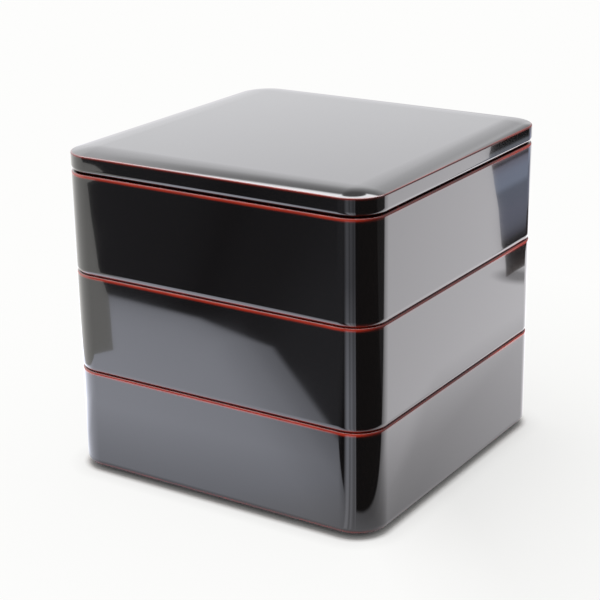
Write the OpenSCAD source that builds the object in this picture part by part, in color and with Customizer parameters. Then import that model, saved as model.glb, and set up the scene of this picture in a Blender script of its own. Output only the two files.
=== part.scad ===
// Stacking box of three lacquered wooden tiers under a crowned lid.
// x runs to the right, y to the back and z up. The origin lies on the table,
// under the middle of the box. Every frame is straight boards between round
// corner posts, so one section serves both the boards and the posts.

/* [Box] */
// Outside width of the tiers and the lid
box_w = 195; // [150:1:260]
// Outside depth of the tiers and the lid
box_d = 195; // [150:1:260]
// Radius of the four upright corners
corner_r = 18.4; // [16:0.2:26]

/* [Tier walls] */
// Height of one tier's walls
wall_h = 56.6; // [36:0.2:80]
// Thickness of the wall boards and corner posts
wall_t = 7; // [5.6:0.1:9.4]
// Round on the outer edge of a tier's rim
rim_round = 1.2; // [0.4:0.1:2]
// Height of the soft arc that draws in the foot of a tier's walls
base_ease_h = 3.2; // [2.4:0.1:5]
// Depth that the arc draws them in at the bottom
base_ease_d = 1.3; // [0.3:0.1:2.4]
// Round on the inner edge of a tier's rim
inner_round = 0.7; // [0.3:0.1:1.4]

/* [Floor and foot] */
// Thickness of a floor panel
floor_t = 4.5; // [3:0.1:8]
// Width of the rebate that the floor panel sits in
floor_seat = 3; // [1.5:0.1:4]
// Height of the foot, which nests in the tier below
foot_h = 3; // [2:0.1:6]
// Width of the foot rails
foot_w = 8; // [4:0.1:10]
// Round on the lower edges of the foot rails
foot_round = 0.8; // [0.3:0.1:1.4]
// Clearance all round between a foot or a lip and the rim that it nests in
nest_gap = 0.6; // [0.3:0.1:1.5]

/* [Lid] */
// Height of the rails under the lid panel
lid_rail_h = 5; // [3.5:0.1:12]
// Round on the lower outer edge of the lid rails
lid_round = 3.4; // [0.5:0.1:4.4]
// Thickness of the lid panel at its edge
panel_edge = 5; // [3:0.1:10]
// Rise of the lid's crown above its edge
crown_h = 2.4; // [1:0.1:4]
// Radius of the level spot left at each corner's centre, where the crown begins to fall
crown_spot_r = 0.4; // [0.2:0.1:6]
// Round along the edge where the crown meets the side
arris_round = 0.8; // [0.3:0.1:1.6]
// Thickness of the lip strips
lip_t = 5; // [3:0.1:9]
// Depth that the lip reaches down into the tier below
lip_drop = 3.5; // [2:0.1:6]
// Round on the lower edges of the lip strips
lip_round = 0.9; // [0.3:0.1:1.4]

/* [Corner joints] */
// Thickness of the loose tongues in the corner joints
tongue_t = 2; // [1:0.1:3]
// Depth that a tongue reaches into the board and into the post
tongue_reach = 4; // [2:0.1:6]
// Wood left above and below a tier's tongues
tongue_stop = 6; // [3:0.5:12]
// Wood left above and below the lid's tongues
lid_tongue_stop = 1; // [0.5:0.1:1.5]
// Glue clearance round tongues and floor panels
glue_gap = 0.1; // [0.05:0.05:0.3]

/* [Hidden] */
$fn = 96;
crown_fn = 720;
cut = 1;
black_lacquer = "#1d1513";
red_lacquer = "#9e2418";
bare_wood = "#c9a877";

TIERS = ["lower", "middle", "upper"];
SIDES = ["front", "right", "back", "left"];
CORNERS = ["front_right", "back_right", "back_left", "front_left"];

function tier_node(t, part) = str(TIERS[t], "_", part);
function wall_node(t, k) = tier_node(t, str(SIDES[k], "_wall"));
function post_node(t, k) = tier_node(t, str(CORNERS[k], "_corner_post"));
function foot_node(t, k) = tier_node(t, str(SIDES[k], "_foot_rail"));
function floor_node(t) = tier_node(t, "floor_panel");
function tongue_node(t) = tier_node(t, "corner_tongues");
function lid_rail_node(k) = str("lid_", SIDES[k], "_rail");
function lid_post_node(k) = str("lid_", CORNERS[k], "_corner_post");
function lip_node(k) = str("lid_", SIDES[k], "_lip_strip");

// Levels of the wall bottoms, tier by tier, and of the lid rails' underside
function tier_z(t) = foot_h + t * wall_h;
lid_z = tier_z(len(TIERS));

// Inset of the rings that nest in a rim, and width of the lid rails that cover the rim
nest_inset = wall_t + nest_gap;
lid_rail_t = nest_inset;

// The crown falls in one arc, from level ground to the arris
crown_border = corner_r - crown_spot_r;
crown_r = (crown_border ^ 2 + crown_h ^ 2) / (2 * crown_h);
crown_centre_z = panel_edge + crown_h - crown_r;
// Centre of the arris round, which touches the side and the inside of the crown arc
arris_z = crown_centre_z + sqrt((crown_r - arris_round) ^ 2 - (crown_border - arris_round) ^ 2);

// Sides are numbered from the front, anticlockwise from above, and corner k follows side k
function side_offset(k) = (k % 2 == 0 ? box_d : box_w) / 2;
function side_run(k) = (k % 2 == 0 ? box_w : box_d) - 2 * corner_r;
function corner_centre(k) = [
    (k < 2 ? 1 : -1) * (box_w / 2 - corner_r),
    (k == 1 || k == 2 ? 1 : -1) * (box_d / 2 - corner_r)
];

// Puts what is drawn along the x axis, facing the front, on side k
module at_side(k, inset = 0) {
    rotate(90 * k)
        translate([0, inset - side_offset(k), 0])
            children();
}

// Puts what is turned from the x axis to the y axis on corner k
module at_corner(k) {
    translate(corner_centre(k))
        rotate(90 * (k - 1))
            children();
}

// Sections are drawn with x inwards from the outer face and y upwards

// What an arc takes off a square corner at the origin: it leaves the face at a height and meets the bottom at a depth
module arc_bite(height, depth) {
    arc_r = (height ^ 2 + depth ^ 2) / (2 * depth);
    difference() {
        translate([-cut, -cut])
            square([arc_r + cut, height + cut]);
        translate([arc_r, height])
            circle(arc_r);
    }
}

// What a round of radius r takes off
module corner_bite(r) {
    arc_bite(r, r);
}

// Section of a strip, with a round of its own on each edge that has one
module eased_strip(w, h, low_out = 0, low_in = 0, top_out = 0, top_in = 0) {
    difference() {
        square([w, h]);
        if (low_out > 0) corner_bite(low_out);
        if (low_in > 0) translate([w, 0]) mirror([1, 0]) corner_bite(low_in);
        if (top_out > 0) translate([0, h]) mirror([0, 1]) corner_bite(top_out);
        if (top_in > 0) translate([w, h]) rotate(180) corner_bite(top_in);
    }
}

// Section of a tier's wall, with the rebate for the floor panel
module wall_section() {
    difference() {
        eased_strip(wall_t, wall_h, top_out = rim_round, top_in = inner_round);
        arc_bite(base_ease_h, base_ease_d);
        translate([wall_t - floor_seat, -cut])
            square([floor_seat + cut, floor_t + cut]);
    }
}

// Section of the lid panel's border, from the arris in to the level middle
module crown_section() {
    square([crown_border, arris_z]);
    translate([arris_round, arris_z])
        circle(arris_round);
    intersection() {
        touch_x = crown_border - crown_r * (crown_border - arris_round) / (crown_r - arris_round);
        translate([touch_x, 0])
            square([crown_border - touch_x, panel_edge + crown_h]);
        translate([crown_border, crown_centre_z])
            circle(crown_r, $fn = crown_fn);
    }
}

// A section drawn out straight along the front
module straight_run(length) {
    rotate([90, 0, 90])
        linear_extrude(length, center = true)
            children();
}

// A section turned about a corner's centre, its outer face at radius r
module corner_turn(r, turn = 90) {
    rotate_extrude(angle = turn)
        translate([r, 0])
            mirror([1, 0])
                children();
}

// A strip along side k that ends in a mitre in the middle of each round corner
module mitred_strip(k, inset) {
    at_side(k, inset) {
        straight_run(side_run(k))
            children();
        for (end = [0, 1])
            mirror([end, 0, 0])
                translate([side_run(k) / 2, corner_r - inset, 0])
                    rotate(-90)
                        corner_turn(corner_r - inset, 45)
                            children();
    }
}

// Plan of a panel whose edge lies at an inset from the box's outer face
module rounded_plan(inset) {
    square([box_w - 2 * corner_r, box_d - 2 * inset], center = true);
    square([box_w - 2 * inset, box_d - 2 * corner_r], center = true);
    for (k = [0:3])
        translate(corner_centre(k))
            circle(corner_r - inset);
}

// A tongue across the joint at one end of side k, or with no gap the slot that holds it
module tongue(k, end, frame_t, low, high, gap = 0) {
    at_side(k)
        translate([
            end * side_run(k) / 2 - tongue_reach + gap,
            (frame_t - tongue_t) / 2 + gap,
            low + gap
        ])
            cube([2 * (tongue_reach - gap), tongue_t - 2 * gap, high - low - 2 * gap]);
}

module tier_tongue(t, k, end, gap = 0) {
    tongue(k, end, wall_t, tier_z(t) + floor_t + tongue_stop, tier_z(t) + wall_h - tongue_stop, gap);
}

module lid_tongue(k, end, gap = 0) {
    tongue(k, end, lid_rail_t, lid_z + lid_tongue_stop, lid_z + lid_rail_h - lid_tongue_stop, gap);
}

// Straight wall board of a tier, slotted at both ends
module tier_wall(t, k) {
    color(black_lacquer)
        difference() {
            translate([0, 0, tier_z(t)])
                at_side(k)
                    straight_run(side_run(k))
                        wall_section();
            tier_tongue(t, k, -1);
            tier_tongue(t, k, 1);
        }
}

// Round corner post of a tier, slotted where its two walls meet it
module tier_post(t, k) {
    color(black_lacquer)
        difference() {
            translate([0, 0, tier_z(t)])
                at_corner(k)
                    corner_turn(corner_r)
                        wall_section();
            tier_tongue(t, k, 1);
            tier_tongue(t, (k + 1) % 4, -1);
        }
}

// Loose tongues of a tier, two to a corner post
module tier_tongues(t) {
    color(bare_wood)
        for (k = [0:3], end = [-1, 1])
            tier_tongue(t, k, end, glue_gap);
}

// Floor panel, flush with the wall's underside
module tier_floor(t) {
    color(red_lacquer)
        translate([0, 0, tier_z(t)])
            linear_extrude(floor_t)
                rounded_plan(wall_t - floor_seat + glue_gap);
}

// Foot rail under the floor panel, which drops into the rim of the tier below
module tier_foot_rail(t, k) {
    color(black_lacquer)
        translate([0, 0, tier_z(t) - foot_h])
            mitred_strip(k, nest_inset)
                eased_strip(foot_w, foot_h, low_out = foot_round, low_in = foot_round);
}

// Straight rail under the lid panel
module lid_rail(k) {
    color(black_lacquer)
        difference() {
            translate([0, 0, lid_z])
                at_side(k)
                    straight_run(side_run(k))
                        eased_strip(lid_rail_t, lid_rail_h, low_out = lid_round);
            lid_tongue(k, -1);
            lid_tongue(k, 1);
        }
}

// Round corner post under the lid panel
module lid_post(k) {
    color(black_lacquer)
        difference() {
            translate([0, 0, lid_z])
                at_corner(k)
                    corner_turn(corner_r)
                        eased_strip(lid_rail_t, lid_rail_h, low_out = lid_round);
            lid_tongue(k, 1);
            lid_tongue((k + 1) % 4, -1);
        }
}

// Loose tongues of the lid's frame
module lid_tongues() {
    color(bare_wood)
        for (k = [0:3], end = [-1, 1])
            lid_tongue(k, end, glue_gap);
}

// Lip strip inside the lid's frame, which drops into the upper tier's rim
module lid_lip(k) {
    color(red_lacquer)
        translate([0, 0, lid_z - lip_drop])
            mitred_strip(k, nest_inset)
                eased_strip(lip_t, lip_drop + lid_rail_h, low_out = lip_round, low_in = lip_round);
}

// Lid panel: a level middle, a crowned border along each side and one turned round each corner
module lid_panel() {
    color(black_lacquer)
        translate([0, 0, lid_z + lid_rail_h]) {
            linear_extrude(panel_edge + crown_h)
                rounded_plan(crown_border);
            for (k = [0:3]) {
                at_side(k)
                    straight_run(side_run(k))
                        crown_section();
                at_corner(k)
                    corner_turn(corner_r)
                        crown_section();
            }
        }
}

for (t = [0:2], k = [0:3]) {
    tier_wall(t, k);
    tier_post(t, k);
    tier_foot_rail(t, k);
}
for (t = [0:2]) {
    tier_floor(t);
    tier_tongues(t);
}
for (k = [0:3]) {
    lid_rail(k);
    lid_post(k);
    lid_lip(k);
}
lid_tongues();  // lid_corner_tongues
lid_panel();
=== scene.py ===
"""Looks of a stacking lacquer box: three tiers under a crowned lid.

The pieces are seamless lacquered rings, boards and a cover that stand for the joined wooden parts.
The floor, the cards and the room round the box are stage, and the polished lacquer mirrors them.
Lengths are in metres, x runs to the right, y to the back and z up, and the box rests on z = 0.
"""

import math

import bmesh
import bpy
from mathutils import Matrix, Vector


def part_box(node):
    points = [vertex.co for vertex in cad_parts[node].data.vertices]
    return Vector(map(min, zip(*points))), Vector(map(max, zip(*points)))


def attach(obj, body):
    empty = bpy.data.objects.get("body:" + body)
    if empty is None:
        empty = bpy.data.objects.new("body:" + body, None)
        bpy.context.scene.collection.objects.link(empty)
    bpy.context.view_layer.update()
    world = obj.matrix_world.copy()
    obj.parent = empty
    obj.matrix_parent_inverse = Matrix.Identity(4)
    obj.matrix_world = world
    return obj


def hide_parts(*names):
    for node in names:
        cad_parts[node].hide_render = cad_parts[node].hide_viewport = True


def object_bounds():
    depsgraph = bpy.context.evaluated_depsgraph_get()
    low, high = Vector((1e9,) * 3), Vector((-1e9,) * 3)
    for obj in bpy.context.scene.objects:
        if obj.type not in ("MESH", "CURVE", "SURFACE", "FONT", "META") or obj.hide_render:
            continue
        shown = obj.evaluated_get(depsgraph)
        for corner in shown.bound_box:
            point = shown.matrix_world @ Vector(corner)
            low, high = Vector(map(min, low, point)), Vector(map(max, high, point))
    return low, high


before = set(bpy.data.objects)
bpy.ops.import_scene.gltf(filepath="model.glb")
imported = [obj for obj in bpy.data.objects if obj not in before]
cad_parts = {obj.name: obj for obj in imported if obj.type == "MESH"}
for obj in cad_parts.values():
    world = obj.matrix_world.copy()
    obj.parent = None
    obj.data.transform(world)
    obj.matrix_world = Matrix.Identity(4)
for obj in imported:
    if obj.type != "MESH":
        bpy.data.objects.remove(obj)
cad_low, cad_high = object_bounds()

MM = 0.001

# ---- Sizes ----

TIERS = ("lower", "middle", "upper")
SIDES = ("front", "right", "back", "left")
CORNERS = ("front_right", "back_right", "back_left", "front_left")

# Rounds of the tiers' walls: outer and inner edge of the rim
RIM_ROUND = 1.2 * MM
INNER_ROUND = 0.7 * MM
# Soft arc at the foot of the walls: the height that it leaves the face at, and its depth at the bottom
BASE_EASE_H = 3.2 * MM
BASE_EASE_D = 1.3 * MM
# Width of the rebate that a floor board sits in
FLOOR_SEAT = 3 * MM
# Ease on the edges of the floor boards
BOARD_EASE = 0.3 * MM
# Width and round of the foot rings, and of the lip ring under the lid
FOOT_W = 8 * MM
FOOT_ROUND = 0.8 * MM
LIP_W = 5 * MM
LIP_ROUND = 0.9 * MM
# Lid: its side below the crown, the crown's rise and border, and the rounds of its edges
PANEL_EDGE = 5 * MM
CROWN_H = 2.4 * MM
CROWN_BORDER = 18 * MM
ARRIS_ROUND = 0.8 * MM
LID_ROUND = 3.4 * MM

# Steps in a round upright corner, in an eased edge, across the crown's border and down the soft arc
CORNER_STEPS = 28
EDGE_STEPS = 8
CROWN_STEPS = 18
BASE_EASE_STEPS = 10
# Sharpest fold between two faces that still shades as one curve
SMOOTH_FOLD = math.radians(32)


def wall_nodes(tier):
    return [f"{tier}_{side}_wall" for side in SIDES] + [f"{tier}_{corner}_corner_post" for corner in CORNERS]


def foot_nodes(tier):
    return [f"{tier}_{side}_foot_rail" for side in SIDES]


def lid_nodes():
    rails = [f"lid_{side}_rail" for side in SIDES] + [f"lid_{corner}_corner_post" for corner in CORNERS]
    return ["lid_panel"] + rails


def lip_nodes():
    return [f"lid_{side}_lip_strip" for side in SIDES]


def around(nodes):
    """Lowest and highest corner of several CAD nodes together."""
    boxes = [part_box(node) for node in nodes]
    low = Vector([min(box[0][axis] for box in boxes) for axis in range(3)])
    high = Vector([max(box[1][axis] for box in boxes) for axis in range(3)])
    return low, high


HALF_W = cad_high.x
HALF_D = cad_high.y
post_low, post_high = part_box("lower_back_right_corner_post")
CORNER_R = post_high.x - post_low.x
wall_low, wall_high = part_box("lower_front_wall")
WALL_T = wall_high.y - wall_low.y
rail_low, rail_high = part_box("lid_front_rail")
RAIL_T = rail_high.y - rail_low.y
RAIL_H = rail_high.z - rail_low.z


def inset_at(point):
    """How far a point lies inside the box's upright outer face."""
    over_x = abs(point.x) - (HALF_W - CORNER_R)
    over_y = abs(point.y) - (HALF_D - CORNER_R)
    reach = math.hypot(max(over_x, 0), max(over_y, 0))
    return CORNER_R - reach - min(max(over_x, over_y), 0)


# ---- Making the pieces ----


def choose(kind, test):
    """Selects only the faces or edges that pass a test, in edit mode."""
    mesh_data = bpy.context.object.data
    bpy.ops.mesh.select_mode(type=kind)
    bpy.ops.mesh.select_all(action="DESELECT")
    mesh = bmesh.from_edit_mesh(mesh_data)
    for part in mesh.faces if kind == "FACE" else mesh.edges:
        if test(part):
            part.select_set(True)
    bmesh.update_edit_mesh(mesh_data)


def choose_cap(up):
    """Selects the level faces that look up, or else those that look down."""
    choose("FACE", lambda face: face.normal.z * up > 0.99)


def choose_loop(z, inset):
    """Selects the level loop of edges at a height and an inset."""
    near = 0.1 * MM
    choose(
        "EDGE",
        lambda edge: all(abs(v.co.z - z) < near and abs(inset_at(v.co) - inset) < near for v in edge.verts),
    )


def draw_in(width, drop=0.0):
    """Insets the chosen face all round, and sinks what is inside by a drop."""
    bpy.ops.mesh.inset(thickness=width, depth=-drop, use_even_offset=True)


def ease(size, steps=EDGE_STEPS):
    """Rounds the chosen edges."""
    bpy.ops.mesh.bevel(offset=size, segments=steps, affect="EDGES", clamp_overlap=False)


def begin_block(name, low, high, corner_r):
    """A block between two corners with round upright edges, left open in edit mode."""
    bpy.ops.object.select_all(action="DESELECT")
    bpy.ops.mesh.primitive_cube_add(size=1, location=(low + high) / 2, scale=high - low)
    block = bpy.context.object
    block.name = name
    block.data.name = name
    bpy.ops.object.transform_apply(location=True, rotation=True, scale=True)
    bpy.ops.object.mode_set(mode="EDIT")
    choose("EDGE", lambda edge: abs(edge.verts[0].co.z - edge.verts[1].co.z) > MM)
    ease(corner_r, CORNER_STEPS)
    return block


def open_through():
    """Joins the edges left open above and below, where the inner faces were taken out, by an inner wall."""
    choose("EDGE", lambda edge: edge.is_boundary)
    bpy.ops.mesh.bridge_edge_loops()


def close_piece(piece):
    """Turns the faces outwards and shades the flats truly flat between their rounds."""
    bpy.ops.mesh.select_all(action="SELECT")
    bpy.ops.mesh.normals_make_consistent(inside=False)
    bpy.ops.object.mode_set(mode="OBJECT")
    bpy.ops.object.shade_smooth_by_angle(angle=SMOOTH_FOLD)
    even = piece.modifiers.new("even_sheen", "WEIGHTED_NORMAL")
    even.weight = 100
    even.keep_sharp = True
    bpy.ops.object.modifier_apply(modifier=even.name)


def paint(piece, coats, coat_of):
    """Gives the piece its coats, and each face the coat that a rule picks."""
    for coat in coats:
        piece.data.materials.append(coat)
    for face in piece.data.polygons:
        face.material_index = coat_of(face)


def fit(piece, body, nodes):
    """Puts the piece on its body in place of the CAD nodes that it stands for."""
    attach(piece, body)
    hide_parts(*nodes)


def base_line():
    """Section of the soft arc at the foot of a wall, as insets and drops below its start."""
    arc_r = (BASE_EASE_H**2 + BASE_EASE_D**2) / (2 * BASE_EASE_D)
    drops = [BASE_EASE_H * step / BASE_EASE_STEPS for step in range(BASE_EASE_STEPS + 1)]
    return [(arc_r - math.sqrt(arc_r**2 - drop**2), drop) for drop in drops]


def make_wall_ring(tier, coats):
    """The four walls and corner posts of a tier as one seamless ring, rebated for the floor."""
    nodes = wall_nodes(tier)
    low, high = around(nodes)
    _, board_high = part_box(f"{tier}_floor_panel")
    ring = begin_block(f"{tier}_tier_wall_ring", low + Vector((0, 0, BASE_EASE_H)), high, CORNER_R)
    choose_cap(1)
    draw_in(WALL_T)
    bpy.ops.mesh.delete(type="ONLY_FACE")
    choose_cap(-1)
    line = base_line()
    for (inset, drop), (next_inset, next_drop) in zip(line, line[1:]):
        draw_in(next_inset - inset, drop - next_drop)
    draw_in(WALL_T - FLOOR_SEAT - BASE_EASE_D)
    bpy.ops.mesh.extrude_region_move(TRANSFORM_OT_translate={"value": (0, 0, board_high.z - low.z)})
    draw_in(FLOOR_SEAT)
    bpy.ops.mesh.delete(type="ONLY_FACE")
    open_through()
    choose_loop(high.z, 0)
    ease(RIM_ROUND)
    choose_loop(high.z, WALL_T)
    ease(INNER_ROUND, EDGE_STEPS - 2)
    close_piece(ring)
    inside = WALL_T - INNER_ROUND + 0.05 * MM
    paint(ring, coats, lambda face: int(inset_at(face.center) > inside and face.center.z > board_high.z))
    fit(ring, f"{tier}_tier", nodes)


def make_floor_board(tier, coats):
    """Floor board of a tier, red above and dark below."""
    node = f"{tier}_floor_panel"
    low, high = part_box(node)
    board = begin_block(f"{tier}_tier_floor_board", low, high, CORNER_R - (HALF_W - high.x))
    choose("EDGE", lambda edge: abs(edge.verts[0].co.z - edge.verts[1].co.z) < BOARD_EASE)
    ease(BOARD_EASE, 3)
    close_piece(board)
    paint(board, coats, lambda face: int(face.normal.z > 0.1))
    fit(board, f"{tier}_tier", [node])


def make_nesting_ring(name, nodes, width, edge_round, coats, body):
    """A low ring that nests in the rim below: a foot under a tier, or the lip under the lid."""
    low, high = around(nodes)
    inset = HALF_W - high.x
    ring = begin_block(name, low, high, CORNER_R - inset)
    for up in (1, -1):
        choose_cap(up)
        draw_in(width)
        bpy.ops.mesh.delete(type="ONLY_FACE")
    open_through()
    for edge_inset in (inset, inset + width):
        choose_loop(low.z, edge_inset)
        ease(edge_round, EDGE_STEPS - 2)
    close_piece(ring)
    paint(ring, coats, lambda face: 0)
    fit(ring, body, nodes)


def crown_line(panel_z):
    """Section of the lid from its side over the arris to the level middle, as insets and heights."""
    crown_r = (CROWN_BORDER**2 + CROWN_H**2) / (2 * CROWN_H)
    centre_z = PANEL_EDGE + CROWN_H - crown_r
    reach = crown_r - ARRIS_ROUND
    arris_z = centre_z + math.sqrt(reach**2 - (CROWN_BORDER - ARRIS_ROUND) ** 2)
    touch = math.atan2(arris_z - centre_z, ARRIS_ROUND - CROWN_BORDER)
    line = []
    for step in range(EDGE_STEPS):
        turn = math.pi + (touch - math.pi) * step / EDGE_STEPS
        line.append((ARRIS_ROUND * (1 + math.cos(turn)), panel_z + arris_z + ARRIS_ROUND * math.sin(turn)))
    for step in range(CROWN_STEPS + 1):
        turn = touch + (math.pi / 2 - touch) * step / CROWN_STEPS
        line.append((CROWN_BORDER + crown_r * math.cos(turn), panel_z + centre_z + crown_r * math.sin(turn)))
    return line


def make_lid_cover(coats):
    """Panel, rails and corner posts of the lid as one seamless cover."""
    nodes = lid_nodes()
    low, high = around(nodes)
    line = crown_line(rail_high.z)
    cover = begin_block("lid_cover", low, Vector((high.x, high.y, line[0][1])), CORNER_R)
    choose_cap(1)
    for (inset, z), (next_inset, next_z) in zip(line, line[1:]):
        draw_in(next_inset - inset, z - next_z)
    choose_cap(-1)
    draw_in(RAIL_T)
    bpy.ops.mesh.extrude_region_move(TRANSFORM_OT_translate={"value": (0, 0, RAIL_H)})
    choose_loop(low.z, 0)
    ease(LID_ROUND)
    close_piece(cover)
    below = low.z + 0.1 * MM
    ceiling = rail_high.z + 0.1 * MM
    paint(
        cover,
        coats,
        lambda face: int(inset_at(face.center) > RAIL_T - 0.05 * MM and below < face.center.z < ceiling),
    )
    fit(cover, "lid", nodes)


# ---- Coats ----

MATH = "ShaderNodeMath"
VECTOR = "ShaderNodeVectorMath"
RANGE = "ShaderNodeMapRange"
NOISE = "ShaderNodeTexNoise"
RAMP = "ShaderNodeValToRGB"

# Distances off an edge that the red glows through at in full, and has faded by: at a seam, and at the arris
SEAM_GLOW = (1.0 * MM, 2.4 * MM)
ARRIS_GLOW = (0.5 * MM, 1.5 * MM)
# Patterns, in repeats to the metre: worn patches in the dark coat some 12 mm across, waves left by its
# polish 33 mm, clouds in the vermilion 22 mm, its brush ripples 2.4 mm and the wood's rings 1.5 mm
WORN_PATCHES = 80.0
POLISH_WAVES = 30.0
RED_CLOUDS = 45.0
BRUSH_RIPPLES = 420.0
GROWTH_RINGS = 660.0
# How far the grain is drawn out along the tongues
GRAIN_STRETCH = 0.08
# Depths of the polish's waves and of the brush ripples
WAVE_DEPTH = 0.02 * MM
RIPPLE_DEPTH = 0.01 * MM
# Refraction of cured lacquer, and of wood
IOR = 1.5


def linear(code):
    """Colour of an sRGB hex code as linear light."""
    parts = [int(code[place:place + 2], 16) / 255 for place in (1, 3, 5)]
    return [part / 12.92 if part <= 0.04045 else ((part + 0.055) / 1.055) ** 2.4 for part in parts] + [1.0]


def node(tree, kind, settings=None, inputs=None):
    """Adds a shader node with its settings, and its inputs as values or as links from other nodes."""
    made = tree.nodes.new(kind)
    for key, value in (settings or {}).items():
        if key == "stops":
            ramp = made.color_ramp.elements
            for place, shade in value:
                stop = ramp[0] if place == value[0][0] else ramp[-1] if place == value[-1][0] else ramp.new(place)
                stop.position = place
                stop.color = linear(shade) if isinstance(shade, str) else (shade, shade, shade, 1.0)
        else:
            setattr(made, key, value)
    for key, value in (inputs or {}).items():
        if isinstance(value, bpy.types.Node):
            value = value.outputs[0]
        if isinstance(value, bpy.types.NodeSocket):
            tree.links.new(value, made.inputs[key])
        else:
            made.inputs[key].default_value = value
    return made


def begin_material(name):
    """An empty node material and its tree."""
    material = bpy.data.materials.new(name)
    material.use_nodes = True
    material.node_tree.nodes.clear()
    return material, material.node_tree


def level_reach(tree, point):
    """Level distance from the square that joins the corner posts' centres: CORNER_R at the outer face."""
    level = node(tree, VECTOR, {"operation": "MULTIPLY"}, {0: point, 1: (1, 1, 0)})
    folded = node(tree, VECTOR, {"operation": "ABSOLUTE"}, {0: level})
    centres = (HALF_W - CORNER_R, HALF_D - CORNER_R, 0)
    beyond = node(tree, VECTOR, {"operation": "SUBTRACT"}, {0: folded, 1: centres})
    beyond = node(tree, VECTOR, {"operation": "MAXIMUM"}, {0: beyond, 1: (0, 0, 0)})
    return node(tree, VECTOR, {"operation": "LENGTH"}, {0: beyond}).outputs["Value"]


def edge_glow(tree, inset, rise, glow):
    """1 on an outer edge of the box, falling to 0 away from it, from the inset and the height off the edge."""
    full, faded = glow
    off_edge = node(tree, "ShaderNodeCombineXYZ", inputs={0: inset, 1: rise})
    distance = node(tree, VECTOR, {"operation": "LENGTH"}, {0: off_edge}).outputs["Value"]
    return node(
        tree, RANGE, inputs={"Value": distance, "From Min": full, "From Max": faded, "To Min": 1.0, "To Max": 0.0}
    )


def dark_lacquer(seam_z, pitch, lid_z, arris_z):
    """Dark urushi over a red ground, polished to a mirror.

    The last clear brown coats leave it near black, and where the polishing thins them on an outer
    edge the vermilion under them glows through: most on the rims, and less on the edges that stand
    on them and on the lid's. On faces that look right the red is weaker still towards the front.
    Edges meet at each seam, a tier's pitch apart, and the lid has its arris besides.
    """
    material, tree = begin_material("dark_urushi_over_red_polished")
    place = node(tree, "ShaderNodeTexCoord").outputs
    _, y, z = node(tree, "ShaderNodeSeparateXYZ", inputs={0: place["Object"]}).outputs
    # Inset from the upright outer face, round corners and all
    reach = level_reach(tree, place["Object"])
    inset = node(tree, MATH, {"operation": "SUBTRACT"}, {0: CORNER_R, 1: reach})

    above_seam = node(tree, MATH, {"operation": "SUBTRACT"}, {0: z, 1: seam_z})
    off_seam = node(tree, MATH, {"operation": "PINGPONG"}, {0: above_seam, 1: pitch / 2})
    turns = node(tree, MATH, {"operation": "DIVIDE"}, {0: above_seam, 1: pitch})
    share = node(tree, MATH, {"operation": "FRACT"}, {0: turns})
    # A base stands on each seam with a weaker glow, and a rim lies under it
    of_rim = node(
        tree, RANGE, inputs={"Value": share, "From Min": 0.45, "From Max": 0.55, "To Min": 0.6, "To Max": 1.0}
    )
    # Painted shade: deep in the groove between them the glow is darkened
    painted_groove_shade = node(
        tree,
        RANGE,
        inputs={"Value": off_seam, "From Min": 0.1 * MM, "From Max": 0.5 * MM, "To Min": 0.4, "To Max": 1.0},
    )
    on_lid = node(tree, MATH, {"operation": "GREATER_THAN"}, {0: z, 1: lid_z})
    on_lid = node(tree, RANGE, inputs={"Value": on_lid, "To Min": 1.0, "To Max": 0.5})
    seam_glow = edge_glow(tree, inset, off_seam, SEAM_GLOW)
    for part in (of_rim, on_lid, painted_groove_shade):
        seam_glow = node(tree, MATH, {"operation": "MULTIPLY"}, {0: seam_glow, 1: part})
    off_arris = node(tree, MATH, {"operation": "SUBTRACT"}, {0: z, 1: arris_z})
    arris_glow = edge_glow(tree, inset, off_arris, ARRIS_GLOW)
    arris_glow = node(tree, MATH, {"operation": "MULTIPLY"}, {0: arris_glow, 1: 0.6})
    glow = node(tree, MATH, {"operation": "MAXIMUM"}, {0: seam_glow, 1: arris_glow})

    # The red is made weaker on faces that look right, most towards the front
    facing = node(tree, "ShaderNodeSeparateXYZ", inputs={0: place["Normal"]}).outputs["X"]
    on_right = node(tree, RANGE, inputs={"Value": y, "From Min": 0.03, "From Max": 0.06, "To Min": 0.4, "To Max": 1.0})
    by_side = node(
        tree, RANGE, inputs={"Value": facing, "From Min": 0.35, "From Max": 0.9, "To Min": 1.0, "To Max": on_right}
    )
    # Hand polishing thins the coat unevenly, in patches
    patches = node(tree, NOISE, inputs={"Vector": place["Object"], "Scale": WORN_PATCHES, "Detail": 2.0})
    wear = node(tree, RANGE, inputs={"Value": patches, "From Min": 0.3, "From Max": 0.7, "To Min": 0.78, "To Max": 1.0})
    for part in (by_side, wear):
        glow = node(tree, MATH, {"operation": "MULTIPLY"}, {0: glow, 1: part})
    brown_to_red = ((0, "#0c0807"), (0.3, "#4a0f07"), (0.65, "#a82a15"), (1, "#d23c1e"))
    tint = node(tree, RAMP, {"stops": brown_to_red}, {"Fac": glow})

    # The polish leaves a faint unevenness, in relief and in gloss
    waves = node(tree, NOISE, inputs={"Vector": place["Object"], "Scale": POLISH_WAVES, "Detail": 1.0})
    relief = node(tree, "ShaderNodeBump", inputs={"Height": waves, "Strength": 1.0, "Distance": WAVE_DEPTH})
    gloss = node(tree, RANGE, inputs={"Value": waves, "From Min": 0.3, "From Max": 0.7, "To Min": 0.05, "To Max": 0.09})
    shader = node(
        tree,
        "ShaderNodeBsdfPrincipled",
        inputs={
            "Base Color": tint,
            "Roughness": gloss,
            "IOR": IOR,
            "Coat Weight": 1.0,
            "Coat Roughness": 0.02,
            "Coat IOR": IOR,
            "Normal": relief,
            "Coat Normal": relief,
        },
    )
    node(tree, "ShaderNodeOutputMaterial", inputs={"Surface": shader})
    return material


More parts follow.
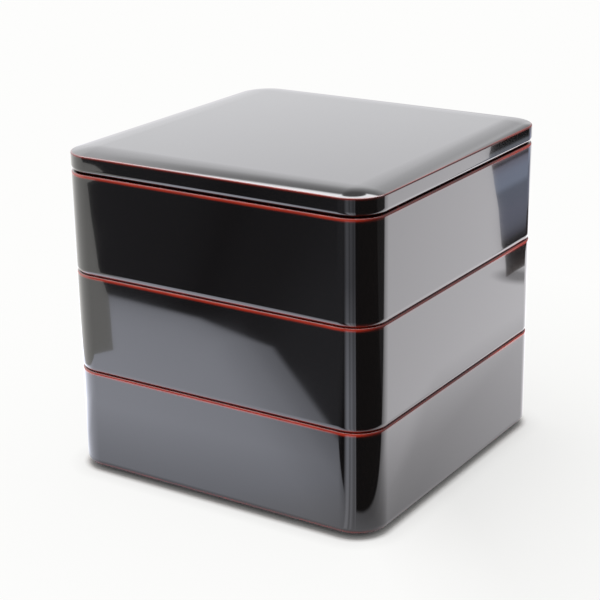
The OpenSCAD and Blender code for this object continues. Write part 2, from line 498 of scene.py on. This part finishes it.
def vermilion_lacquer():
    """Vermilion urushi, brushed and left to level: an opaque warm red with a softer gloss."""
    material, tree = begin_material("vermilion_urushi_brushed")
    point = node(tree, "ShaderNodeTexCoord").outputs["Object"]
    cloud = node(tree, NOISE, inputs={"Vector": point, "Scale": RED_CLOUDS, "Detail": 3.0})
    tint = node(
        tree,
        "ShaderNodeMix",
        {"data_type": "RGBA"},
        {"Factor": cloud, "A": linear("#a12a1b"), "B": linear("#b33322")},
    )
    # The brush ripples are too fine to see but for the way they soften the gloss
    ripple = node(tree, NOISE, inputs={"Vector": point, "Scale": BRUSH_RIPPLES, "Detail": 2.0})
    relief = node(tree, "ShaderNodeBump", inputs={"Height": ripple, "Strength": 0.4, "Distance": RIPPLE_DEPTH})
    shader = node(
        tree,
        "ShaderNodeBsdfPrincipled",
        inputs={
            "Base Color": tint.outputs["Result"],
            "Roughness": 0.22,
            "IOR": IOR,
            "Coat Weight": 0.6,
            "Coat Roughness": 0.08,
            "Coat IOR": IOR,
            "Normal": relief,
        },
    )
    node(tree, "ShaderNodeOutputMaterial", inputs={"Surface": shader})
    return material


def bare_wood():
    """Planed softwood, unlacquered inside the joints: pale, matt, with fine straight grain."""
    material, tree = begin_material("planed_cypress_bare")
    point = node(tree, "ShaderNodeTexCoord").outputs["Object"]
    drawn_out = node(tree, "ShaderNodeMapping", inputs={"Vector": point, "Scale": (1.0, 1.0, GRAIN_STRETCH)})
    grain = node(tree, NOISE, inputs={"Vector": drawn_out, "Scale": GROWTH_RINGS, "Detail": 4.0})
    tint = node(
        tree,
        "ShaderNodeMix",
        {"data_type": "RGBA"},
        {"Factor": grain, "A": linear("#b98f5d"), "B": linear("#dcc093")},
    )
    shader = node(
        tree, "ShaderNodeBsdfPrincipled", inputs={"Base Color": tint.outputs["Result"], "Roughness": 0.6, "IOR": IOR}
    )
    node(tree, "ShaderNodeOutputMaterial", inputs={"Surface": shader})
    return material


# ---- The box ----

tier_low, tier_high = around(wall_nodes("lower"))
arris_z = crown_line(rail_high.z)[0][1] + ARRIS_ROUND
dark = dark_lacquer(tier_low.z, tier_high.z - tier_low.z, rail_low.z, arris_z)
red = vermilion_lacquer()
for tier in TIERS:
    make_wall_ring(tier, [dark, red])
    make_floor_board(tier, [dark, red])
    make_nesting_ring(
        f"{tier}_tier_foot_ring", foot_nodes(tier), FOOT_W, FOOT_ROUND, [dark], f"{tier}_tier"
    )
make_lid_cover([dark, red])
make_nesting_ring("lid_lip_ring", lip_nodes(), LIP_W, LIP_ROUND, [red], "lid")

wood = bare_wood()
for name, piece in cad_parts.items():
    if name.endswith("corner_tongues"):
        piece.data.materials.clear()
        piece.data.materials.append(wood)


# ---- Camera ----

CAMERA_AT = Vector((479.3, -747.3, 398.9)) * MM
CAMERA_AZIMUTH = math.radians(33.004)
CAMERA_ELEVATION = math.radians(19.362)
CAMERA_ROLL = math.radians(-0.878)
CAMERA_LENS = 98.63

lens = bpy.data.cameras.new("camera")
lens.lens = CAMERA_LENS
lens.sensor_width = 36
lens.clip_start = 0.01
lens.clip_end = 100
camera = bpy.data.objects.new("camera", lens)
bpy.context.scene.collection.objects.link(camera)
camera.matrix_world = (
    Matrix.Translation(CAMERA_AT)
    @ Matrix.Rotation(CAMERA_AZIMUTH, 4, "Z")
    @ Matrix.Rotation(math.pi / 2 - CAMERA_ELEVATION, 4, "X")
    @ Matrix.Rotation(CAMERA_ROLL, 4, "Z")
)
bpy.context.scene.camera = camera


# ---- Studio floor ----

BACKGROUND = linear("#fafaf8")
# Radius of the floor
FLOOR_R = 12

# Stretches away from the box's footprint, each with what the even light's share grows from and to
EVENING_OUT = ((0, 0.003, 0.1, 0.72), (0.003, 0.012, 0.72, 0.88), (0.012, 0.4, 0.88, 1.0))

# How the paper dims up to its end: before the near corner, and in front on the left
CORNER_END = (
    (0, 1.0), (0.356, 0.97), (0.5, 0.95), (0.577, 0.92), (0.663, 0.84), (0.721, 0.78),
    (0.793, 0.72), (0.865, 0.6), (0.947, 0.5), (0.978, 0.17), (1, 0.0),
)
FRONT_END = (
    (0, 1.0), (0.538, 0.94), (0.731, 0.88), (0.865, 0.78),
    (0.923, 0.69), (0.947, 0.51), (0.978, 0.17), (1, 0.0),
)
# Straight lines that it ends on: the way out to each, its distance from the box's middle, and the dimming
PAPER_ENDS = (
    ((0.67, -0.742, 0), 0.16, CORNER_END),
    ((0.275, -0.9615, 0), 0.2685, FRONT_END),
    ((0.083, -0.9965, 0), 0.3145, FRONT_END),
)
# The dimming starts this far before such a line and ends this far past it
END_FADE = (0.1, 0.004)

# A patch of light on the floor before the near corner: the way it points and the way across it
TONGUE_ALONG = (0.191, -0.982, 0)
TONGUE_ACROSS = (0.982, 0.191, 0)
# Its streaks from left to right
TONGUE_STREAKS = (
    (0, 0.0), (0.12, 0.5), (0.26, 1.0), (0.38, 1.0), (0.47, 0.5),
    (0.58, 0.9), (0.7, 0.6), (0.8, 0.45), (0.88, 0.75), (0.96, 0.0),
)
# Brightness of the dark floor past the paper, fanned out before the box
BARE_FLOOR = (
    (0, 0.05), (0.09, 0.05), (0.23, 0.16), (0.36, 0.18), (0.545, 0.16),
    (0.655, 0.1), (0.727, 0.09), (0.78, 0.07), (0.85, 0.1), (1, 0.12),
)


def floor_in_sight(tree, matt, away, to_right):
    """The paper as the camera sees it: matt in the box's own shade, and evenly lit farther away."""
    even = node(tree, "ShaderNodeEmission", inputs={"Color": linear("#fdfdfc"), "Strength": 1.0})
    fade = 1.0
    for near_to, far_to, least, most in EVENING_OUT:
        part = node(tree, RANGE, {"clamp": False}, {0: away, 1: near_to, 2: far_to, 3: least, 4: most})
        fade = node(tree, MATH, {"operation": "MINIMUM"}, {0: part, 1: fade})
    # The box throws its shade to the right
    deepest = node(
        tree, RANGE, inputs={"Value": away, "From Min": 0.02, "From Max": 0.25, "To Min": 0.77, "To Max": 1.06}
    )
    in_shade = node(
        tree, RANGE, inputs={"Value": to_right, "From Min": 0.0, "From Max": 0.06, "To Min": 1.06, "To Max": deepest}
    )
    fade = node(tree, MATH, {"operation": "MULTIPLY"}, {0: fade, 1: in_shade})
    return node(tree, "ShaderNodeMixShader", inputs={0: fade, 1: matt, 2: even})


def share_on_paper(tree, point):
    """1 on the paper, dimming to 0 at the straight lines that it ends on."""
    on_paper = 1.0
    before, past = END_FADE
    for out, end_at, stops in PAPER_ENDS:
        reached = node(tree, VECTOR, {"operation": "DOT_PRODUCT"}, {0: point, 1: out}).outputs["Value"]
        over_end = node(
            tree, RANGE, inputs={"Value": reached, "From Min": end_at - before, "From Max": end_at + past}
        )
        part = node(tree, RAMP, {"stops": stops}, {"Fac": over_end})
        on_paper = node(tree, MATH, {"operation": "MINIMUM"}, {0: part, 1: on_paper})
    return on_paper


def dimmed_by_box(tree, point, x, y):
    """The box takes light from the paper next to it, and least in front."""
    past_corner = node(tree, VECTOR, {"operation": "DOT_PRODUCT"}, {0: point, 1: (1, -0.4, 0)}).outputs["Value"]
    clear_of_corner = node(
        tree, RANGE, inputs={"Value": past_corner, "From Min": 0.128, "From Max": 0.136, "To Min": 0.0, "To Max": 0.013}
    )
    beside = node(tree, MATH, {"operation": "ABSOLUTE"}, {0: x})
    beside = node(tree, MATH, {"operation": "ADD"}, {0: beside, 1: clear_of_corner})
    dimmed = 0.0
    for way, near_to, far_to, least, most in (
        (beside, HALF_W, 0.133, 0.43, 0.58),
        (beside, 0.133, 0.163, 0.58, 0.83),
        (y, -HALF_D, -0.178, 0.62, 1.03),
        (y, HALF_D, 0.36, 0.64, 1.0),
    ):
        part = node(tree, RANGE, {"clamp": False}, {0: way, 1: near_to, 2: far_to, 3: least, 4: most})
        dimmed = node(tree, MATH, {"operation": "MAXIMUM"}, {0: part, 1: dimmed})
    return node(tree, MATH, {"operation": "MINIMUM"}, {0: dimmed, 1: 1.0})


def tongue_of_light(tree, point):
    """Light that falls between two dark screens on the floor before the near corner."""
    post_centre = (HALF_W - CORNER_R, CORNER_R - HALF_D, 0)
    off_post = node(tree, VECTOR, {"operation": "SUBTRACT"}, {0: point, 1: post_centre})
    along = node(tree, VECTOR, {"operation": "DOT_PRODUCT"}, {0: off_post, 1: TONGUE_ALONG}).outputs["Value"]
    across = node(tree, VECTOR, {"operation": "DOT_PRODUCT"}, {0: off_post, 1: TONGUE_ACROSS}).outputs["Value"]
    ahead = node(tree, MATH, {"operation": "GREATER_THAN"}, {0: along, 1: 0.02})
    slant = node(tree, MATH, {"operation": "DIVIDE"}, {0: across, 1: along})
    slant = node(tree, RANGE, inputs={"Value": slant, "From Min": -0.36, "From Max": 0.36})
    streaks = node(tree, RAMP, {"stops": TONGUE_STREAKS}, {"Fac": slant})
    length = node(
        tree, RANGE, inputs={"Value": along, "From Min": 0.2, "From Max": 0.42, "To Min": 1.7, "To Max": 0.7}
    )
    tongue = node(tree, MATH, {"operation": "MULTIPLY"}, {0: streaks, 1: length})
    return node(tree, MATH, {"operation": "MULTIPLY"}, {0: tongue, 1: ahead})


def floor_in_gloss(tree, point, away, to_right):
    """The floor as the polished lacquer mirrors it."""
    x, y, _ = node(tree, "ShaderNodeSeparateXYZ", inputs={0: point}).outputs
    # The paper is lit more in front than on the right, and least far behind on the left
    on_right = node(tree, RANGE, inputs={"Value": to_right, "From Min": -0.08, "From Max": 0.03})
    lit = node(tree, RANGE, inputs={"Value": on_right, "To Min": 2.35, "To Max": 1.88})
    to_back = node(tree, VECTOR, {"operation": "DOT_PRODUCT"}, {0: point, 1: (-0.55, 0.83, 0)}).outputs["Value"]
    slope = node(tree, MATH, {"operation": "DIVIDE"}, {0: x, 1: y})
    farthest = node(
        tree, RANGE, inputs={"Value": slope, "From Min": -0.8, "From Max": -0.45, "To Min": 0.5, "To Max": 0.367}
    )
    far = node(
        tree, RANGE, inputs={"Value": to_back, "From Min": 0.3, "From Max": 0.7, "To Min": 1.0, "To Max": farthest}
    )
    light = share_on_paper(tree, point)
    for part in (dimmed_by_box(tree, point, x, y), lit, far):
        light = node(tree, MATH, {"operation": "MULTIPLY"}, {0: light, 1: part})
    # The dark floor past the paper is a little lighter straight before the box
    slope = node(tree, RANGE, inputs={"Value": slope, "From Min": -0.3, "From Max": 0.8})
    bare = node(tree, RAMP, {"stops": BARE_FLOOR}, {"Fac": slope})
    for part in (tongue_of_light(tree, point), bare):
        light = node(tree, MATH, {"operation": "MAXIMUM"}, {0: light, 1: part})
    # It is dim before the card on the right, and at the foot of the box it lies in the box's own shadow
    off_card = node(tree, VECTOR, {"operation": "DISTANCE"}, {0: point, 1: (0.22, 0.335, 0)}).outputs["Value"]
    by_card = node(
        tree, RANGE, inputs={"Value": off_card, "From Min": 0.008, "From Max": 0.022, "To Min": 0.4, "To Max": 1.0}
    )
    light = node(tree, MATH, {"operation": "MULTIPLY"}, {0: light, 1: by_card})
    at_foot = node(tree, RANGE, {"clamp": False}, {0: away, 1: 0, 2: 0.01, 3: 0.45, 4: 1.5})
    light = node(tree, MATH, {"operation": "MINIMUM"}, {0: light, 1: at_foot})
    tint = node(
        tree,
        "ShaderNodeMix",
        {"data_type": "RGBA"},
        {"Factor": on_right, "A": linear("#eff2ff"), "B": linear("#f8f6fa")},
    )
    return node(tree, "ShaderNodeEmission", inputs={"Color": tint.outputs["Result"], "Strength": light})


def studio_floor():
    """Pale matt paper that keeps the box's shadow, and what the polished lacquer mirrors of the floor."""
    material, tree = begin_material("pale_paper_floor")
    point = node(tree, "ShaderNodeTexCoord").outputs["Object"]
    rays = node(tree, "ShaderNodeLightPath").outputs
    matt = node(tree, "ShaderNodeBsdfDiffuse", inputs={"Color": linear("#f2f2f0")})
    away = node(tree, MATH, {"operation": "SUBTRACT"}, {0: level_reach(tree, point), 1: CORNER_R})
    to_right = node(tree, VECTOR, {"operation": "DOT_PRODUCT"}, {0: point, 1: (0.707, 0.707, 0)}).outputs["Value"]
    in_sight = floor_in_sight(tree, matt, away, to_right)
    in_gloss = floor_in_gloss(tree, point, away, to_right)
    plain = node(tree, "ShaderNodeMixShader", inputs={0: rays["Is Camera Ray"], 1: matt, 2: in_sight})
    surface = node(tree, "ShaderNodeMixShader", inputs={0: rays["Is Glossy Ray"], 1: plain, 2: in_gloss})
    node(tree, "ShaderNodeOutputMaterial", inputs={"Surface": surface})
    return material


bpy.ops.object.select_all(action="DESELECT")
bpy.ops.mesh.primitive_circle_add(vertices=96, radius=FLOOR_R, fill_type="NGON")
floor = bpy.context.object
floor.name = "studio_floor"
floor.data.materials.append(studio_floor())


# ---- Studio cards ----

# Height that a card's shades are spread over
CARD_H = 0.15
# Level line that the cards on the right stand on, where they meet and where they end
RIGHT_X = 0.2276
RIGHT_MEET_Y = 0.400
RIGHT_END = (0.130, 0.480)

# The card on the left: its foot from front to back, and its shaped front edge with the upper one
LEFT_FOOT = ((-0.193, -0.250, 0), (-0.230, -0.164, 0), (-0.252, -0.066, 0), (-0.300, 0.080, 0))
LEFT_TOP = (
    (-0.1935, -0.2488, 0.038),
    (-0.196, -0.2431, 0.060),
    (-0.1972, -0.2402, 0.0945),
    (-0.1978, -0.2388, 0.119),
    (-0.193, -0.249, 0.1215),
    (-0.1955, -0.244, 0.1285),
    (-0.200, -0.234, 0.134),
    (-0.230, -0.164, 0.150),
    (-0.252, -0.066, 0.160),
    (-0.300, 0.080, 0.170),
)
# The card on the right: its front edge from the foot up, as places along its line and heights
RIGHT_FRONT_FOOT_Y = 0.328
RIGHT_FRONT = (
    (0.3255, 0.019), (0.3195, 0.027), (0.3125, 0.056), (0.301, 0.088), (0.2965, 0.100), (0.2965, CARD_H),
)
# Its shades from the foot up: a dark foot, a blue-grey field with a lighter band, and a dark top
SLATE_SHADES = (
    (0, "#615550"),
    (0.06, "#504b4b"),
    (0.167, "#464346"),
    (0.187, "#616165"),
    (0.207, "#81818f"),
    (0.24, "#9ca0b1"),
    (0.28, "#a6aabf"),
    (0.333, "#aaaec4"),
    (0.453, "#a8b0c5"),
    (0.487, "#cedaf6"),
    (0.55, "#cdd7f3"),
    (0.593, "#c1c1d7"),
    (0.607, "#594b50"),
    (0.63, "#b3b9c5"),
    (0.66, "#b3b9c5"),
    (0.675, "#313131"),
)


def card_glow(name, shades, strength):
    """Upright card whose brightness is painted light, given as its own glow: of one shade or with shades that change up
    its height.
    """
    material, tree = begin_material(name)
    if isinstance(shades, str):
        tint = linear(shades)
    else:
        point = node(tree, "ShaderNodeTexCoord").outputs["Object"]
        height = node(tree, "ShaderNodeSeparateXYZ", inputs={0: point}).outputs["Z"]
        share = node(tree, MATH, {"operation": "DIVIDE"}, {0: height, 1: CARD_H})
        tint = node(tree, RAMP, {"stops": shades}, {"Fac": share})
    glow = node(tree, "ShaderNodeEmission", inputs={"Color": tint, "Strength": strength})
    node(tree, "ShaderNodeOutputMaterial", inputs={"Surface": glow})
    return material


def stand_card(name, feet, tops, material):
    """An upright card through points of its foot and top edges, seen only in the lacquer's gloss."""
    mesh = bpy.data.meshes.new(name)
    points = [*feet, *reversed(tops)]
    mesh.from_pydata(points, [], [tuple(range(len(points)))])
    mesh.materials.append(material)
    card = bpy.data.objects.new(name, mesh)
    bpy.context.scene.collection.objects.link(card)
    card.visible_camera = False
    card.visible_diffuse = False
    card.visible_shadow = False
    card.visible_transmission = False


stand_card("left_card", LEFT_FOOT, LEFT_TOP, card_glow("grey_card", "#fffefb", 1.1))
slate_card = card_glow("slate_card", SLATE_SHADES, 1.0)
right_meet = (RIGHT_X, RIGHT_MEET_Y)
stand_card(
    "right_card",
    ((RIGHT_X, RIGHT_FRONT_FOOT_Y, 0), (*right_meet, 0)),
    (*[(RIGHT_X, y, z) for y, z in RIGHT_FRONT], (*right_meet, CARD_H)),
    slate_card,
)
stand_card(
    "right_card_wing",
    ((*right_meet, 0), (*RIGHT_END, 0)),
    ((*right_meet, CARD_H), (*RIGHT_END, CARD_H)),
    slate_card,
)


# ---- Studio room and lamp ----

# Brightness of the mirrored wall by its rise, from level to straight up, at the light end
WALL_LEVEL = 2.0
WALL_RISE = (
    (0, 0.47), (0.06, 0.475), (0.12, 0.507), (0.2, 0.575), (0.3, 0.585),
    (0.37, 0.6), (0.44, 0.68), (0.55, 0.78), (1, 0.5),
)
# How it falls off to the right, up to the dark curtain that it ends in
RIGHTWARDS = (0.875, 0.485, 0)
WALL_FALL = (
    (0, 1.0), (0.196, 0.97), (0.3, 0.96), (0.392, 0.95), (0.43, 0.9), (0.451, 0.85),
    (0.569, 0.76), (0.6, 0.8), (0.635, 0.9), (0.667, 0.65), (0.706, 0.42), (1, 0.3),
)
# The dark room behind the camera
TO_CAMERA = (0.545, -0.839, 0)
ROOM_LEVEL = 0.12
# A dark doorway behind the paper, and how its soft edge closes in
TO_DOOR = (-0.4176, 0.6683, 0.6157)
DOOR_LEVEL = 0.28
DOOR_EDGE = (
    (0, 0.0), (0.226, 0.06), (0.406, 0.16), (0.534, 0.36), (0.633, 0.5), (0.684, 0.58), (0.726, 0.66),
    (0.78, 0.71), (0.833, 0.77), (0.879, 0.83), (0.905, 0.9), (0.951, 0.96), (0.973, 1.0),
)
# A soft lamp over and behind the box, as it is mirrored
TO_LAMP = (-0.183, 0.218, 0.959)
LAMP_LEVEL = 4.2
# The lamp and the even fill that light the box itself
LAMP_AT = Vector((-0.19, 0.29, 1.15))
LAMP_WIDTH = 1.5
LAMP_POWER = 9.0
FILL_LEVEL = 0.55


def room_in_gloss(tree, direction):
    """Brightness of the room as the lacquer mirrors it, by direction."""
    rise = node(tree, "ShaderNodeSeparateXYZ", inputs={0: direction}).outputs["Z"]
    wall = node(tree, RAMP, {"stops": WALL_RISE}, {"Fac": rise})
    wall = node(tree, MATH, {"operation": "MULTIPLY"}, {0: wall, 1: WALL_LEVEL})
    # How nearly the direction points each way, 1 when it does
    rightwards, to_camera, to_door, to_lamp = [
        node(tree, VECTOR, {"operation": "DOT_PRODUCT"}, {0: direction, 1: way}).outputs["Value"]
        for way in (RIGHTWARDS, TO_CAMERA, TO_DOOR, TO_LAMP)
    ]
    rightwards = node(tree, RANGE, inputs={"Value": rightwards, "From Min": -0.15, "From Max": 0.36})
    fall = node(tree, RAMP, {"stops": WALL_FALL}, {"Fac": rightwards})
    wall = node(tree, MATH, {"operation": "MULTIPLY"}, {0: wall, 1: fall})
    room = node(tree, RANGE, inputs={"Value": to_camera, "From Min": 0.05, "From Max": 0.35})
    level = node(tree, "ShaderNodeMix", {"data_type": "FLOAT"}, {"Factor": room, "A": wall, "B": ROOM_LEVEL})
    door = node(tree, RANGE, inputs={"Value": to_door, "From Min": 0.95, "From Max": 1.0})
    door = node(tree, RAMP, {"stops": DOOR_EDGE}, {"Fac": door})
    level = node(tree, "ShaderNodeMix", {"data_type": "FLOAT"}, {"Factor": door, "A": level, "B": DOOR_LEVEL})
    # The doorway's head hides a bit of the lamp
    lamp = node(tree, RANGE, inputs={"Value": to_lamp, "From Min": 0.786, "From Max": 0.811})
    clear = node(
        tree, RANGE, inputs={"Value": to_door, "From Min": 0.9961, "From Max": 0.9971, "To Min": 1.0, "To Max": 0.0}
    )
    lamp = node(tree, MATH, {"operation": "MULTIPLY"}, {0: lamp, 1: clear})
    return node(tree, "ShaderNodeMix", {"data_type": "FLOAT"}, {"Factor": lamp, "A": level, "B": LAMP_LEVEL})


def studio_world():
    """White all round for the camera, plain fill for the light, and the room as the lacquer mirrors it."""
    world = bpy.data.worlds.new("studio")
    bpy.context.scene.world = world
    world.use_nodes = True
    tree = world.node_tree
    tree.nodes.clear()
    rays = node(tree, "ShaderNodeLightPath").outputs
    direction = node(tree, "ShaderNodeTexCoord").outputs["Generated"]
    room = room_in_gloss(tree, direction)
    mirrored = node(tree, "ShaderNodeBackground", inputs={"Color": linear("#fcfcff"), "Strength": room})
    fill = node(tree, "ShaderNodeBackground", inputs={"Color": linear("#ffffff"), "Strength": FILL_LEVEL})
    white = node(tree, "ShaderNodeBackground", inputs={"Color": BACKGROUND, "Strength": 1.0})
    lit = node(tree, "ShaderNodeMixShader", inputs={0: rays["Is Glossy Ray"], 1: fill, 2: mirrored})
    seen = node(tree, "ShaderNodeMixShader", inputs={0: rays["Is Camera Ray"], 1: lit, 2: white})
    node(tree, "ShaderNodeOutputWorld", inputs={"Surface": seen})


def hang_lamp():
    """A round soft lamp that faces the middle of the box and isn't mirrored by it."""
    data = bpy.data.lights.new("soft_lamp", "AREA")
    data.shape = "DISK"
    data.size = LAMP_WIDTH
    data.energy = LAMP_POWER
    lamp = bpy.data.objects.new("soft_lamp", data)
    bpy.context.scene.collection.objects.link(lamp)
    lamp.matrix_world = Matrix.Translation(LAMP_AT) @ LAMP_AT.to_track_quat("Z", "Y").to_matrix().to_4x4()
    lamp.visible_glossy = False
    lamp.visible_camera = False


studio_world()
hang_lamp()

bpy.context.scene.view_settings.view_transform = "Standard"
